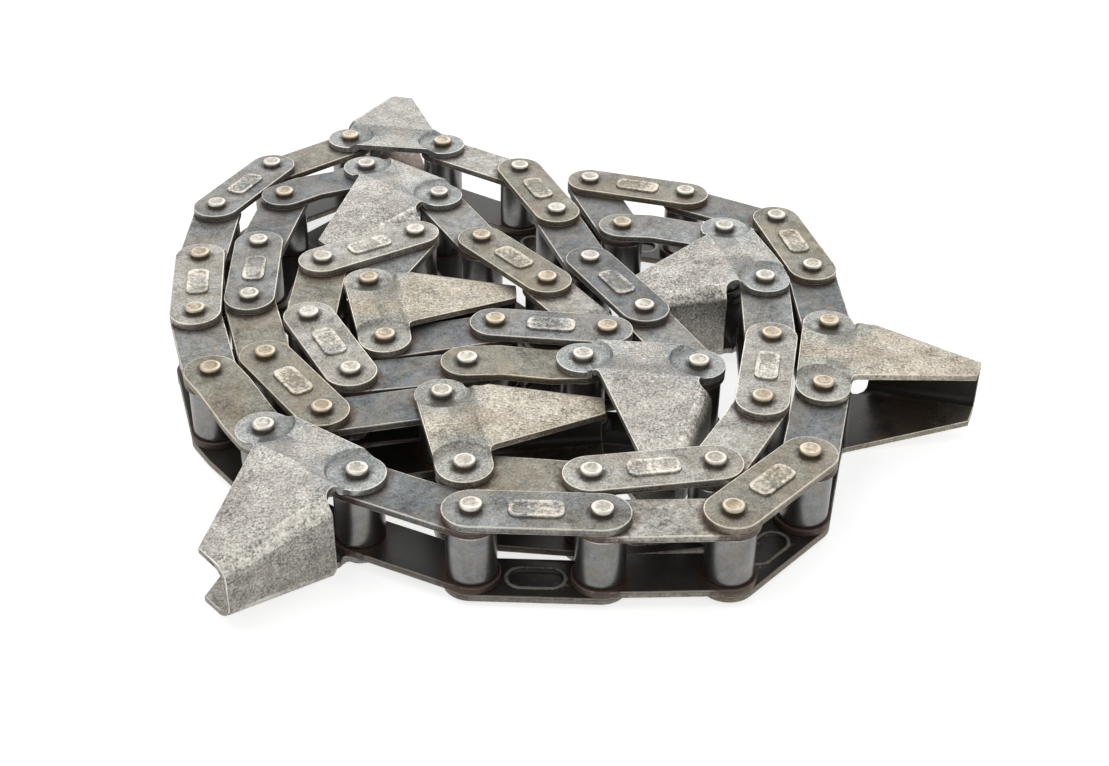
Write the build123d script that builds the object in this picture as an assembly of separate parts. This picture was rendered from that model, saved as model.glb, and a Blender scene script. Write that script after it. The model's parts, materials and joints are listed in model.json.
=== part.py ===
from build123d import *
import os
from copy import copy
from math import acos, atan2, cos, degrees, hypot, radians, sin, tan

# Endless conveyor chain: a riveted steel roller chain with folded sheet-metal lugs, of the kind that
# gathers stalks on a crop header. It lies on its side, folded into a flat coil with every pin upright.
#
# Every link is built about the chain's middle plane, z = 0, with its first pin at the origin and its second
# pin one pitch along +X. A lug's paddle points to +Y, which is the inside of the closed loop. The links are
# then laid nose to tail round the loop and lifted, so that the pins stand on z = 0.
#
# Lengths are in millimetres and angles in degrees.

# ---- pitch, pins, bushes and rollers ----
PITCH = 41.4
PIN_D = 7.14
PIN_LENGTH = 35.0
BUSH_D = 10.0
ROLLER_D = 16.66
RUNNING_CLEARANCE = 0.05        # radial: pin in bush, and bush in roller
ROLLER_SIDE_CLEARANCE = 0.1     # each end of a roller to its side plate

# ---- side plates ----
INNER_WIDTH = 20.0              # clear width between two inner plates
PLATE_T = 2.6
PLATE_WIDTH = 19.0
LINK_SIDE_CLEARANCE = 0.15      # inner plate to the outer plate, lug ear or wide end beside it

# ---- raised pad pressed into each outer plate ----
PAD_LENGTH = 18.0
PAD_WIDTH = 8.6
PAD_RISE = 0.8
PAD_CORNER = 1.6

# ---- offset plate: narrow end at the first pin, wide end at the second ----
CRANK_RUN = 18.0                # length of the slanted stretch, centred between the pins

# ---- gathering lug: one folded sheet, two ears on each side and a paddle ----
LUG_T = 2.4
EAR_D = 19.2
LUG_STEP = 1.85                 # how far the sheet stands outside its ears
DISH_RUN = 1.2                  # plan width of the slanted ring round each ear
DISH_LAND = 0.5                 # flat of the sheet that belongs to the pressed ring
LUG_TAPER = 8.0                 # slope of each side towards the other
TAPER_START = 12.0              # from the line of the pins to the crease where the slope starts
BEND_R = 3.6                    # inside radius of the fold
FOLD_FOOT_X, FOLD_FOOT_Y = -25.8, 17.5   # outer face of the folded web, from midway between the pins
FOLD_TIP_X, FOLD_TIP_Y = -16.5, 56.5
OPEN_TIP_X, OPEN_TIP_Y = -2.5, 54.5      # free corner of the paddle
OPEN_FOOT_X = 15.0              # where the open edge meets the top of the second ear
OPEN_FILLET = 3.5
TIP_CORNER = 3.0
NOTCH_X, NOTCH_Y, NOTCH_R = -25.3, 13.0, 4.5   # relief at the foot of the fold

# ---- rest pose: the heading of each link along the loop, anticlockwise from +X ----
# One row runs from a single lug to the next pair of lugs. The last two links close the loop.
HEADINGS = (
    [-6, -33, -67, -71, -61, -64]
    + [176, -175, -169, 118, 90, 34, -111]
    + [-76, 17, -5, 123, 130, 118]
    + [143, -139, -96, -86, -73, -54, 15]
    + [-76, -5, 10, 63, 80, 88]
    + [108, 178, 108, -15, -29, -76, -88]
    + [-100, -103, -132, -177, 179, 155]
    + [145, 125, 108, 98, 91]
)

# ---- the order of the links, the same in each of four groups ----
GROUP = ["lug", "inner", "outer", "inner", "outer", "inner",
         "lug", "offset", "inner", "outer", "inner", "outer", "inner"]
GROUPS = 4
LINKS = GROUP * GROUPS
LOOSE_ROLLERS = range(42, 50)   # pins whose rollers are nodes of their own: the straight run at the front

# ---- heights above the middle plane, and radii that follow from the sizes above ----
INNER_LOW = INNER_WIDTH / 2
INNER_HIGH = INNER_LOW + PLATE_T
OUTER_LOW = INNER_HIGH + LINK_SIDE_CLEARANCE
OUTER_HIGH = OUTER_LOW + PLATE_T
EAR_HIGH = OUTER_LOW + LUG_T
SHEET_LOW = OUTER_LOW + LUG_STEP
SHEET_HIGH = SHEET_LOW + LUG_T
EAR_R = EAR_D / 2
DISH_R = EAR_R + DISH_RUN
BUSH_BORE_D = PIN_D + 2 * RUNNING_CLEARANCE
ROLLER_BORE_D = BUSH_D + 2 * RUNNING_CLEARANCE
PAST = PITCH                    # how far cutting tools reach past the metal


def cylinder_at(x, diameter, low, high):
    """Round bar along Z between two heights, at x on the line of the pins."""
    return Pos(x, 0, (low + high) / 2) * Cylinder(diameter / 2, high - low)


def tube_at(x, diameter, bore, half_length):
    """Round tube along Z, centred on the middle plane."""
    outside = cylinder_at(x, diameter, -half_length, half_length)
    return outside - cylinder_at(x, bore, -half_length, half_length)


def both_sides(plate):
    """An upper plate and its mirror image below the middle plane."""
    return [plate, mirror(plate, Plane.XY)]


def pin(x):
    return cylinder_at(x, PIN_D, -PIN_LENGTH / 2, PIN_LENGTH / 2)


def bush(x):
    return tube_at(x, BUSH_D, BUSH_BORE_D, INNER_HIGH)


def roller(x):
    return tube_at(x, ROLLER_D, ROLLER_BORE_D, INNER_LOW - ROLLER_SIDE_CLEARANCE)


def bar_outline(first_hole, second_hole):
    """Plate with full round ends about its two holes."""
    outline = Pos(PITCH / 2, 0) * SlotCenterToCenter(PITCH, PLATE_WIDTH)
    return outline - Circle(first_hole / 2) - Pos(PITCH, 0) * Circle(second_hole / 2)


def inner_plate():
    return extrude(Pos(0, 0, INNER_LOW) * bar_outline(BUSH_D, BUSH_D), PLATE_T)


def outer_plate():
    plate = extrude(Pos(0, 0, OUTER_LOW) * bar_outline(PIN_D, PIN_D), PLATE_T)
    pad_outline = chamfer(Rectangle(PAD_LENGTH, PAD_WIDTH).vertices(), PAD_CORNER)
    return plate + extrude(Pos(PITCH / 2, 0, OUTER_HIGH) * pad_outline, PAD_RISE)


def offset_plate():
    """Plate cranked outwards from the inner plates' level to the outer plates' level."""
    start = (PITCH - CRANK_RUN) / 2
    end = start + CRANK_RUN
    lower = [(-PAST, INNER_LOW), (start, INNER_LOW), (end, OUTER_LOW), (2 * PAST, OUTER_LOW)]
    upper = [(x, z + PLATE_T) for x, z in reversed(lower)]
    side_view = Plane.XZ * make_face(Polyline(*lower, *upper, close=True))
    strip = extrude(side_view, PAST, both=True)
    return strip & extrude(bar_outline(BUSH_D, PIN_D), PAST)


def lug_plan():
    """Outline of the lug from above, with its origin midway between the pins."""
    half = PITCH / 2
    sheet = make_face(Polyline(
        (-half, -EAR_R),
        (half, -EAR_R),
        (half, EAR_R),
        (OPEN_FOOT_X, EAR_R),
        (OPEN_TIP_X, OPEN_TIP_Y),
        (FOLD_TIP_X, FOLD_TIP_Y),
        (FOLD_FOOT_X, FOLD_FOOT_Y),
        (NOTCH_X, NOTCH_Y),
        (-half, 0),
        close=True,
    ))
    for corner_x, corner_y, radius in (
        (OPEN_FOOT_X, EAR_R, OPEN_FILLET),
        (OPEN_TIP_X, OPEN_TIP_Y, TIP_CORNER),
    ):
        corner = sheet.vertices().sort_by_distance(Vector(corner_x, corner_y, 0))[0]
        sheet = fillet(corner, radius)
    for side in (-1, 1):
        sheet += Pos(side * half, 0) * Circle(EAR_R)
    return sheet - Pos(NOTCH_X, NOTCH_Y) * Circle(NOTCH_R)


def fold_x(y, inset):
    """Where the web's face, moved inwards by the inset, crosses a line across the paddle."""
    run_x, run_y = FOLD_TIP_X - FOLD_FOOT_X, FOLD_TIP_Y - FOLD_FOOT_Y
    return FOLD_FOOT_X + (y - FOLD_FOOT_Y) * run_x / run_y + inset * hypot(run_x, run_y) / run_y


def paddle_block(face_height, inset, radius):
    """Tapered block from the crease to past the tip, with its two edges along the fold rounded."""
    far_y = FOLD_TIP_Y + LUG_T
    drop = (far_y - TAPER_START) * tan(radians(LUG_TAPER))
    side_view = Plane.YZ * make_face(Polyline(
        (TAPER_START, -face_height),
        (far_y, drop - face_height),
        (far_y, face_height - drop),
        (TAPER_START, face_height),
        close=True,
    ))
    footprint = make_face(Polyline(
        (fold_x(TAPER_START, inset), TAPER_START),
        (PITCH + inset, TAPER_START),
        (PITCH + inset, far_y),
        (fold_x(far_y, inset), far_y),
        close=True,
    ))
    block = extrude(side_view, PAST * 2, both=True) & extrude(footprint, PAST, both=True)
    middle_y = (TAPER_START + far_y) / 2
    middle_height = face_height - drop / 2
    fold_edges = [
        block.edges().sort_by_distance(Vector(fold_x(middle_y, inset), middle_y, side * middle_height))[0]
        for side in (-1, 1)
    ]
    return fillet(fold_edges, radius)


def dish(x):
    """Ear pressed inwards round one pin: flat ear, slanted ring and a land of the sheet."""
    rim_r = DISH_R + DISH_LAND
    half_section = Plane.XZ * make_face(Polyline(
        (PIN_D / 2, OUTER_LOW),
        (EAR_R + DISH_LAND, OUTER_LOW),
        (rim_r, SHEET_LOW),
        (rim_r + DISH_LAND, SHEET_LOW),
        (rim_r + DISH_LAND, SHEET_HIGH),
        (DISH_R, SHEET_HIGH),
        (EAR_R, EAR_HIGH),
        (PIN_D / 2, EAR_HIGH),
        close=True,
    ))
    return Pos(x, 0, 0) * revolve(half_section, Axis.Z)


def lug():
    """The whole folded sheet: two sides, the web between them and four pressed ears."""
    half = PITCH / 2
    plan = lug_plan()
    below_crease = Pos(0, TAPER_START - PAST) * Rectangle(2 * PAST, 2 * PAST)
    side = extrude(Pos(0, 0, SHEET_LOW) * (plan & below_crease), LUG_T)
    outside = paddle_block(SHEET_HIGH, 0, BEND_R + LUG_T)
    inside = paddle_block(SHEET_LOW, LUG_T, BEND_R)
    paddle = (outside - inside) & extrude(plan, PAST, both=True)
    sheet = paddle + both_sides(side)
    rim_d = 2 * (DISH_R + 2 * DISH_LAND)
    prism = extrude(plan, PAST, both=True)
    for x in (-half, half):
        sheet -= cylinder_at(x, rim_d, -PAST, PAST)
    for x in (-half, half):
        sheet += both_sides(dish(x) & prism)
    return Pos(half, 0, 0) * sheet


SIDES = {
    "inner": lambda: both_sides(inner_plate()),
    "outer": lambda: both_sides(outer_plate()),
    "offset": lambda: both_sides(offset_plate()),
    "lug": lambda: [lug()],
}
BUSHED_ENDS = {"inner": (0, 1), "outer": (), "offset": (0,), "lug": ()}


def link_pieces(kind):
    """What is pressed together in one link: its sides, and a bush or a pin at each end."""
    ends = [bush(x) if end in BUSHED_ENDS[kind] else pin(x) for end, x in enumerate((0, PITCH))]
    return SIDES[kind]() + ends


def point_towards(start, heading):
    angle = radians(heading)
    return (start[0] + PITCH * cos(angle), start[1] + PITCH * sin(angle))


def closed_headings():
    """The headings of the rest pose, then those of the two links that bring the loop back to its start."""
    end = (0.0, 0.0)
    for heading in HEADINGS:
        end = point_towards(end, heading)
    straight = degrees(atan2(-end[1], -end[0]))
    spread = degrees(acos(hypot(*end) / (2 * PITCH)))
    return HEADINGS + [straight + spread, straight - spread]


def pin_places():
    """Plan position of every pin, with the first at (0, 0)."""
    places = [(0.0, 0.0)]
    for heading in closed_headings()[:-1]:
        places.append(point_towards(places[-1], heading))
    return places


def twin(piece, place):
    """The same piece in another place, sharing its geometry."""
    return copy(piece).move(place)


def chain_nodes():
    """Every node's name and solids, laid round the loop with the first pin on the Z axis."""
    pieces = {kind: link_pieces(kind) for kind in SIDES}
    rollers = [roller(0), roller(PITCH)]
    nodes = {}
    for number, (kind, heading, place) in enumerate(zip(LINKS, closed_headings(), pin_places())):
        laid = Pos(*place, PIN_LENGTH / 2) * Rot(0, 0, heading)
        solids = nodes.setdefault(f"{kind}_link_{number:02d}", [twin(piece, laid) for piece in pieces[kind]])
        for end in BUSHED_ENDS[kind]:
            pin_number = (number + end) % len(LINKS)
            if pin_number in LOOSE_ROLLERS:
                nodes[f"roller_{pin_number}"] = [twin(rollers[end], laid)]
            else:
                solids.append(twin(rollers[end], laid))
    return nodes


def middle_of(nodes):
    """Middle of the whole chain's box, seen from above."""
    everything = Compound([solid for solids in nodes.values() for solid in solids])
    middle = everything.bounding_box().center()
    return middle.X, middle.Y


def main():
    os.makedirs("parts", exist_ok=True)
    nodes = chain_nodes()
    middle_x, middle_y = middle_of(nodes)
    for name, solids in nodes.items():
        centred = [twin(solid, Pos(-middle_x, -middle_y, 0)) for solid in solids]
        export_step(Compound(label=name, children=centred), f"parts/{name}.step")


main()
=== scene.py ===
"""Looks of a folded conveyor chain: worn, oily steel links, riveted pins, rollers and folded sheet lugs.

Each kind of piece has a class that builds its mesh in the link's own frame, with the first pin at the origin
and the second pin along +X. The coil then lays the meshes round the loop, at the places that the frame gives.

A mesh carries a float attribute "wear", which is 1 along its rubbed edges and also holds painted highlights
along the lugs' folds and on the lips round the plates' pockets, and a UV map "plan", which holds the link's
own X and Y, so that greasy rings with painted shade, and heat tints, can sit round the pins. Plates and lugs
also carry "oil", which is 1 on the faces that look inwards, where a black oily coat and painted shade go.
"""

import json
import logging
import math
import random
from dataclasses import dataclass, field, replace
from enum import Enum
from typing import Iterable, Optional

import bmesh
import bpy
from mathutils import Matrix, Vector

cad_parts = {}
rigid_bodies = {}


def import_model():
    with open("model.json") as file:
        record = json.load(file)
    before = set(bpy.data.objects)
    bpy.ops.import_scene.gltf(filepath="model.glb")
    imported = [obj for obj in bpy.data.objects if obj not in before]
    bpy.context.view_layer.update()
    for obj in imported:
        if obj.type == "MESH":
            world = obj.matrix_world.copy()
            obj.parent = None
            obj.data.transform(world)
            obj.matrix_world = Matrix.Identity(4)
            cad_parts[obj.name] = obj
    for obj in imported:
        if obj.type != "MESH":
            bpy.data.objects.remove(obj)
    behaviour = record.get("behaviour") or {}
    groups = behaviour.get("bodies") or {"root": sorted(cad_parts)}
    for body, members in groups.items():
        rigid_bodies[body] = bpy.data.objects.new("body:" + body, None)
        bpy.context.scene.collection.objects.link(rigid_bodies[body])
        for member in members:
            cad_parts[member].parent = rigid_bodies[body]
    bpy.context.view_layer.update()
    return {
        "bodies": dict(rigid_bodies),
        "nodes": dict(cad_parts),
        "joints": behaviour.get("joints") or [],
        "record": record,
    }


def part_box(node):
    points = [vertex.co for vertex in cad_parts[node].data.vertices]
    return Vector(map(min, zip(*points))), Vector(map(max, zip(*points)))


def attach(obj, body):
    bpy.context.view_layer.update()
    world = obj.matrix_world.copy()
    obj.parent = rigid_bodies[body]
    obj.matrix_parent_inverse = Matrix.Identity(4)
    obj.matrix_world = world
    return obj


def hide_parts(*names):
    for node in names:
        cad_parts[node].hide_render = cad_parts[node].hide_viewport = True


LOG = logging.getLogger("chain")
MM = 0.001
PLAN_UNIT = 0.1            # metres of a link for one unit of the "plan" UV map
SLACK = 0.1 * MM           # margin for telling by its place which part of a shape a vertex belongs to
MERGE = 1e-7               # metres within which two points are made one
UP = Vector((0.0, 0.0, 1.0))
WHITE = (1.0, 1.0, 1.0, 1.0)
MIX_SOCKETS = {"RGBA": (6, 7, 2), "FLOAT": (2, 3, 0)}   # a Mix node's A, B and Result, by its data type

Colour = tuple[float, float, float]


class Kind(Enum):
    """The four kinds of link, by the first word of their nodes' names."""

    INNER = "inner"
    OUTER = "outer"
    OFFSET = "offset"
    LUG = "lug"


@dataclass(frozen=True)
class ChainSizes:
    """Sizes shared by all the links, in metres, with heights counted from the chain's middle plane."""

    pitch: float = 41.4 * MM
    pin_radius: float = 3.57 * MM
    pin_half: float = 17.5 * MM
    bush_radius: float = 5.0 * MM
    roller_radius: float = 8.33 * MM
    roller_half: float = 9.9 * MM
    plate_radius: float = 9.5 * MM
    plate_thick: float = 2.6 * MM
    inner_low: float = 10.0 * MM
    outer_low: float = 12.75 * MM
    crank_run: float = 18.0 * MM


SIZES = ChainSizes()


@dataclass(frozen=True)
class LinkPlace:
    """Where one link lies: its number round the loop, its first pin and its heading."""

    number: int
    kind: Kind
    start: Vector
    heading: float
    lift: float

    def matrix(self) -> Matrix:
        """The transform from the link's own frame to the chain's frame."""
        shift = Matrix.Translation((self.start.x, self.start.y, self.lift))
        return shift @ Matrix.Rotation(self.heading, 4, "Z")

    def node(self) -> str:
        """The name of the link's CAD node and body."""
        return f"{self.kind.value}_link_{self.number:02d}"


# ---------------------------------------------------------------------------------------------------------
# Mesh helpers
# ---------------------------------------------------------------------------------------------------------


def spin_point(bm: bmesh.types.BMesh, vert: bmesh.types.BMVert, centre: Vector, angle: float,
               steps: int) -> bmesh.types.BMVert:
    """Sweeps a point round a centre into a chain of edges.

    Args:
        bm: The mesh that holds the point.
        vert: The point to sweep.
        centre: Centre of the arc.
        angle: Turn in radians, anticlockwise seen from above.
        steps: Number of edges.

    Returns:
        The last point of the arc.
    """
    made = bmesh.ops.spin(bm, geom=[vert], cent=centre, axis=UP, angle=angle, steps=steps, use_merge=False)
    return next(item for item in made["geom_last"] if isinstance(item, bmesh.types.BMVert))


def obround_face(bm: bmesh.types.BMesh, radius: float, length: float, z: float,
                 steps: int = 22) -> bmesh.types.BMFace:
    """Makes a flat face with full round ends about the origin and a point along +X.

    Args:
        bm: The mesh to add to.
        radius: Radius of the ends.
        length: Distance between the centres of the ends.
        z: Height of the face.
        steps: Edges on each round end.

    Returns:
        The new face.
    """
    lower = bm.verts.new((length, -radius, z))
    upper = spin_point(bm, lower, Vector((length, 0, z)), math.pi, steps)
    far_upper = bm.verts.new((0, radius, z))
    far_lower = spin_point(bm, far_upper, Vector((0, 0, z)), math.pi, steps)
    bm.edges.new((upper, far_upper))
    bm.edges.new((far_lower, lower))
    bmesh.ops.remove_doubles(bm, verts=bm.verts, dist=MERGE)
    edges = [edge for edge in bm.edges if edge.is_wire]
    return bmesh.ops.contextual_create(bm, geom=edges)["faces"][0]


def thicken(bm: bmesh.types.BMesh, face: bmesh.types.BMFace, height: float) -> None:
    """Extrudes a flat face upwards into a closed plate.

    Args:
        bm: The mesh that holds the face.
        face: The face to extrude.
        height: Thickness of the plate.
    """
    made = bmesh.ops.extrude_face_region(bm, geom=[face], use_keep_orig=True)
    verts = [item for item in made["geom"] if isinstance(item, bmesh.types.BMVert)]
    bmesh.ops.translate(bm, vec=(0, 0, height), verts=verts)


def lathe(bm: bmesh.types.BMesh, section: Iterable[tuple[float, float]], centre_x: float, steps: int,
          closed: bool) -> list[bmesh.types.BMVert]:
    """Spins a half section round an upright axis.

    Args:
        bm: The mesh to add to.
        section: Points of the section as (radius, height), from the bottom upwards.
        centre_x: Place of the axis along X.
        steps: Number of flats round the axis.
        closed: Whether the section is a ring that closes on itself, as for a tube.

    Returns:
        The vertices of the new shape.
    """
    before = set(bm.verts)
    points = [bm.verts.new((centre_x + radius, 0, height)) for radius, height in section]
    edges = [bm.edges.new(pair) for pair in zip(points, points[1:])]
    if closed:
        edges.append(bm.edges.new((points[-1], points[0])))
    bmesh.ops.spin(bm, geom=points + edges, cent=(centre_x, 0, 0), axis=UP, angle=math.tau, steps=steps,
                   use_merge=True)
    verts = [vert for vert in bm.verts if vert not in before]
    bmesh.ops.remove_doubles(bm, verts=verts, dist=MERGE)
    return [vert for vert in bm.verts if vert not in before]


def sharp_edges(bm: bmesh.types.BMesh, angle: float = math.radians(32)) -> list[bmesh.types.BMEdge]:
    """The edges whose two faces meet at more than an angle."""
    return [edge for edge in bm.edges if len(edge.link_faces) == 2 and edge.calc_face_angle(0.0) > angle]


def round_edges(bm: bmesh.types.BMesh, edges: list[bmesh.types.BMEdge], width: float,
                segments: int = 2) -> list[bmesh.types.BMFace]:
    """Rounds edges off.

    Args:
        bm: The mesh that holds the edges.
        edges: The edges to round.
        width: Width of the rounding.
        segments: Number of flats across it.

    Returns:
        The new faces.
    """
    made = bmesh.ops.bevel(bm, geom=edges, offset=width, offset_type="OFFSET", segments=segments, profile=0.5,
                           affect="EDGES", clamp_overlap=False, material=-1)
    return made["faces"]


def ease_edges(bm: bmesh.types.BMesh, width: float, land: float, low: float = math.radians(32),
               high: float = math.radians(115)) -> None:
    """Rounds every sheared edge and marks the rounded metal as worn.

    A narrow band is inset into the faces beside each rounded edge, so that the wear fades out within it.

    Args:
        bm: The closed mesh to ease.
        width: Width of the rounding.
        land: Width of the band over which the wear fades.
        low: The least angle between the faces of an edge that counts as sheared.
        high: The greatest such angle, past which the metal runs out to a feather edge and is left alone.
    """
    wear_and_highlight = bm.verts.layers.float.get("wear_and_highlight") or bm.verts.layers.float.new("wear_and_highlight")
    sheared = [edge for edge in sharp_edges(bm, low) if edge.calc_face_angle(0.0) < high]
    rounded = set(round_edges(bm, sheared, width))
    flats = [face for face in bm.faces if face not in rounded]
    bmesh.ops.inset_region(bm, faces=flats, thickness=land, use_even_offset=True, use_boundary=True)
    for vert in bm.verts:
        vert[wear_and_highlight] = 0.0
    for face in rounded:
        for vert in face.verts:
            vert[wear_and_highlight] = 1.0


def mark_oil_and_shade(bm: bmesh.types.BMesh, inner_level: float, fade: float = 0.9 * MM) -> None:
    """Marks the side of a plate that looks inwards, which stays oily and unrubbed and takes painted shade, as
    the attribute "oil".

    Args:
        bm: A plate above the middle plane.
        inner_level: Height of its inner face.
        fade: How far up the plate's wall the oily coat and its painted shade fade out.
    """
    oil_and_shade = bm.verts.layers.float.get("oil_and_shade") or bm.verts.layers.float.new("oil_and_shade")
    for vert in bm.verts:
        # Painted shade goes with the black oily coat on the inner face and at the foot of the wall.
        vert[oil_and_shade] = min(max(1.0 - (vert.co.z - inner_level) / fade, 0.0), 1.0)


def write_plan(bm: bmesh.types.BMesh) -> None:
    """Stores each corner's X and Y in the link's own frame as the UV map "plan".

    Args:
        bm: The mesh to map.
    """
    layer = bm.loops.layers.uv.new("plan")
    for face in bm.faces:
        for loop in face.loops:
            loop[layer].uv = (loop.vert.co.x / PLAN_UNIT, loop.vert.co.y / PLAN_UNIT)


def mirrored_below(bm: bmesh.types.BMesh) -> None:
    """Adds the mirror image of the whole mesh below the middle plane, with its faces turned outwards.

    Args:
        bm: The mesh to double.
    """
    copied = bmesh.ops.duplicate(bm, geom=bm.verts[:] + bm.edges[:] + bm.faces[:])["geom"]
    verts = [item for item in copied if isinstance(item, bmesh.types.BMVert)]
    faces = [item for item in copied if isinstance(item, bmesh.types.BMFace)]
    bmesh.ops.scale(bm, vec=(1, 1, -1), verts=verts)
    bmesh.ops.reverse_faces(bm, faces=faces)


def shells(bm: bmesh.types.BMesh) -> list[set[bmesh.types.BMVert]]:
    """Sorts a mesh's vertices into sets that hang together.

    Args:
        bm: The mesh to sort.

    Returns:
        One set for each closed piece.
    """
    left = set(bm.verts)
    found = []
    while left:
        shell, front = set(), [next(iter(left))]
        while front:
            vert = front.pop()
            if vert in shell:
                continue
            shell.add(vert)
            front += [edge.other_vert(vert) for edge in vert.link_edges]
        found.append(shell)
        left -= shell
    return found


def to_mesh(bm: bmesh.types.BMesh, name: str, crease: float = math.radians(38)) -> bpy.types.Mesh:
    """Closes off a working mesh: normals outwards, plan map written and smooth shading between sharp creases.

    Args:
        bm: The working mesh, which is freed.
        name: Name for the mesh data.
        crease: The least angle between two faces that shows as a crease.

    Returns:
        The finished mesh data.
    """
    bmesh.ops.recalc_face_normals(bm, faces=bm.faces)
    write_plan(bm)
    for face in bm.faces:
        face.smooth = True
    mesh = bpy.data.meshes.new(name)
    bm.to_mesh(mesh)
    bm.free()
    mesh.set_sharp_from_angle(angle=crease)
    return mesh


def lay_piece(mesh: bpy.types.Mesh, name: str, matrix: Matrix, body: str,
              finish: bpy.types.Material, stands_for: Optional[str] = None) -> bpy.types.Object:
    """Lays a copy of a mesh in its place as a piece of its own.

    Args:
        mesh: The mesh in its link's own frame.
        name: Name for the piece.
        matrix: The link's place.
        body: The CAD body that the piece rides on.
        finish: The material.
        stands_for: The CAD node that the piece replaces, if any.

    Returns:
        The new object, which sits at the origin with its place in its mesh.
    """
    data = mesh.copy()
    data.name = name
    data.transform(matrix)
    data.materials.clear()
    data.materials.append(finish)
    piece = bpy.data.objects.new(name, data)
    bpy.context.scene.collection.objects.link(piece)
    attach(piece, body)
    if stands_for:
        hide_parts(stands_for)
    LOG.info("%s: %d faces", name, len(data.polygons))
    return piece


# ---------------------------------------------------------------------------------------------------------
# Pieces of the links
# ---------------------------------------------------------------------------------------------------------


@dataclass
class PinEnds:
    """Riveted pins: a plain shank with a swollen, bevelled end that is dished by the riveting tool.

    The crown is the middle point of the rounded bevel, in shares of the bevel. The dish's lip and floor are
    shares of its depth and of its radius.
    """

    swell: float = 0.18 * MM
    swell_run: float = 0.5 * MM
    bevel: float = 0.75 * MM
    crown_in: float = 0.25
    crown_down: float = 0.35
    dish_radius: float = 2.1 * MM
    dish_rim: float = 0.35 * MM
    dish_lip: float = 0.45
    dish_floor: float = 0.55
    neck: float = 16.0 * MM
    rubbed_rim: float = 1.2
    end_wear: float = 0.5
    steps: int = 36

    def half_section(self, depth: float) -> list[tuple[float, float]]:
        """The upper half of a pin's section, from its middle to the centre of its end.

        Args:
            depth: How deep the end is dished.

        Returns:
            Points as (radius, height).
        """
        shank, top = SIZES.pin_radius, SIZES.pin_half
        wide = shank + self.swell
        return [
            (shank, self.neck),
            (wide, self.neck + self.swell_run),
            (wide, top - self.bevel),
            (wide - self.crown_in * self.bevel, top - self.crown_down * self.bevel),
            (wide - self.bevel, top),
            (self.dish_radius + self.dish_rim, top),
            (self.dish_radius, top - self.dish_lip * depth),
            (self.dish_floor * self.dish_radius, top - depth),
            (0.0, top - depth),
        ]

    def build(self, places: Iterable[float], depths: Iterable[float], name: str) -> bpy.types.Mesh:
        """Builds the pins of one link.

        Args:
            places: Where the pins stand along the link.
            depths: How deep each one's ends are dished.
            name: Name for the mesh data.

        Returns:
            The finished mesh data.
        """
        rim = SIZES.pin_radius + self.swell - self.rubbed_rim * self.bevel
        bm = bmesh.new()
        wear_and_highlight = bm.verts.layers.float.new("wear_and_highlight")
        for place, depth in zip(places, depths):
            upper = self.half_section(depth)
            lower = [(radius, -height) for radius, height in reversed(upper)]
            for vert in lathe(bm, lower + upper, place, self.steps, closed=False):
                radius = math.hypot(vert.co.x - place, vert.co.y)
                on_end = abs(vert.co.z) > SIZES.pin_half - self.bevel - SLACK
                vert[wear_and_highlight] = (1.0 if radius > rim else self.end_wear) if on_end else 0.0
        return to_mesh(bm, name)


@dataclass
class RollerShape:
    """Tubes that turn on the bushes, with rolled-over ends, and the bushes inside them."""

    end_round: float = 0.7 * MM
    end_crown: float = 0.3
    band: float = 0.8 * MM
    bore_gap: float = 0.05 * MM
    bush_sink: float = 0.02 * MM
    steps: int = 48
    bush_steps: int = 24

    def build(self, places: Iterable[float], name: str) -> bpy.types.Mesh:
        """Builds the rollers at the given places along a link.

        Args:
            places: Where the rollers stand along the link.
            name: Name for the mesh data.

        Returns:
            The finished mesh data.
        """
        outside, half = SIZES.roller_radius, SIZES.roller_half
        upper = [
            (outside, half - self.end_round - self.band),
            (outside, half - self.end_round),
            (outside - self.end_crown * self.end_round, half - self.end_crown * self.end_round),
            (outside - self.end_round, half),
            (outside - self.end_round - self.band, half),
            (SIZES.bush_radius + self.bore_gap, half),
        ]
        section = [(radius, -height) for radius, height in reversed(upper)] + upper
        bm = bmesh.new()
        wear_and_highlight = bm.verts.layers.float.new("wear_and_highlight")
        for place in places:
            for vert in lathe(bm, section, place, self.steps, closed=True):
                radius = math.hypot(vert.co.x - place, vert.co.y)
                on_edge = radius > outside - self.end_round - SLACK
                at_end = abs(vert.co.z) > half - self.end_round - SLACK
                vert[wear_and_highlight] = 1.0 if on_edge and at_end else 0.0
        return to_mesh(bm, name)

    def build_bushes(self, places: Iterable[float], bm: bmesh.types.BMesh) -> None:
        """Adds the bushes, whose ends lie flush with the inner plates, to a plate mesh.

        Args:
            places: Where the bushes stand along the link.
            bm: The plate mesh.
        """
        reach = SIZES.inner_low + SIZES.plate_thick - self.bush_sink
        bore = SIZES.pin_radius + self.bore_gap
        section = [(bore, -reach), (SIZES.bush_radius, -reach), (SIZES.bush_radius, reach), (bore, reach)]
        for place in places:
            lathe(bm, section, place, self.bush_steps, closed=True)


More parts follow.
